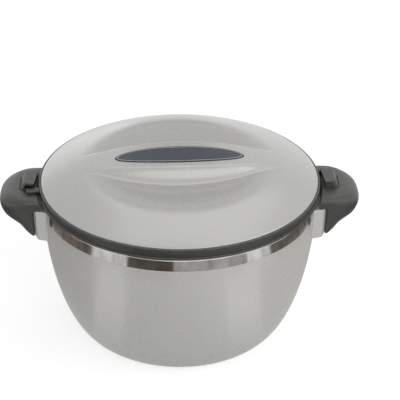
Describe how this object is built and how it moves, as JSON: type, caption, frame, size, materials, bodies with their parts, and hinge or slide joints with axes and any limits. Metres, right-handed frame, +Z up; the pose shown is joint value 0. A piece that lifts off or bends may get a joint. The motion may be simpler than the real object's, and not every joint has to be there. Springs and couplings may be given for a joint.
{
  "type": "thermal serving bowl",
  "caption": "Round foam-insulated serving bowl with a steel inside, dark side handles and a domed lid that turns under a lock block on each handle and lifts off.",
  "frame": {"origin": "on the table under the middle of the bowl, at the underside of its feet", "axes": "+Z up along the bowl's axis, +X through the right handle, -Y toward the front that the picture shows"},
  "size_m": [0.3026, 0.2358, 0.1591],
  "materials": {
    "shell": "satin",
    "cover": "satin",
    "steel": "polished",
    "handle": "satin",
    "ring": "satin",
    "liner": "satin",
    "foam": "matte",
    "rubber": "matte",
    "badge": "satin",
    "trim": "polished",
    "screw": "satin"
  },
  "bodies": {
    "bowl": {"outer_shell": "shell", "inner_bowl": "steel", "body_foam": "foam", "base_cover": "ring", "foam_fill_plug": "ring", "foot_pad_1": "rubber", "foot_pad_2": "rubber", "foot_pad_3": "rubber", "foot_pad_4": "rubber", "handle_right": "handle", "handle_left": "handle", "handle_screw_right_front": "screw", "handle_screw_right_rear": "screw", "handle_screw_left_rear": "screw", "handle_screw_left_front": "screw"},
    "seal": {"lid_seal": "rubber"},
    "lid": {"lid_cover": "cover", "lid_ring": "ring", "lid_liner": "liner", "lid_foam": "foam", "lid_fill_plug": "liner", "badge_plate": "badge", "badge_trim": "trim"}
  },
  "joints": [
    {"name": "lid_lift", "type": "slide", "parent": "bowl", "child": "seal", "axis": [0, 0, 1], "range_m": [0, 0.12]},
    {"name": "lid_turn", "type": "hinge", "parent": "seal", "child": "lid", "pos_m": [0, 0, 0.13], "axis": [0, 0, -1], "range_deg": [0, 9]}
  ]
}
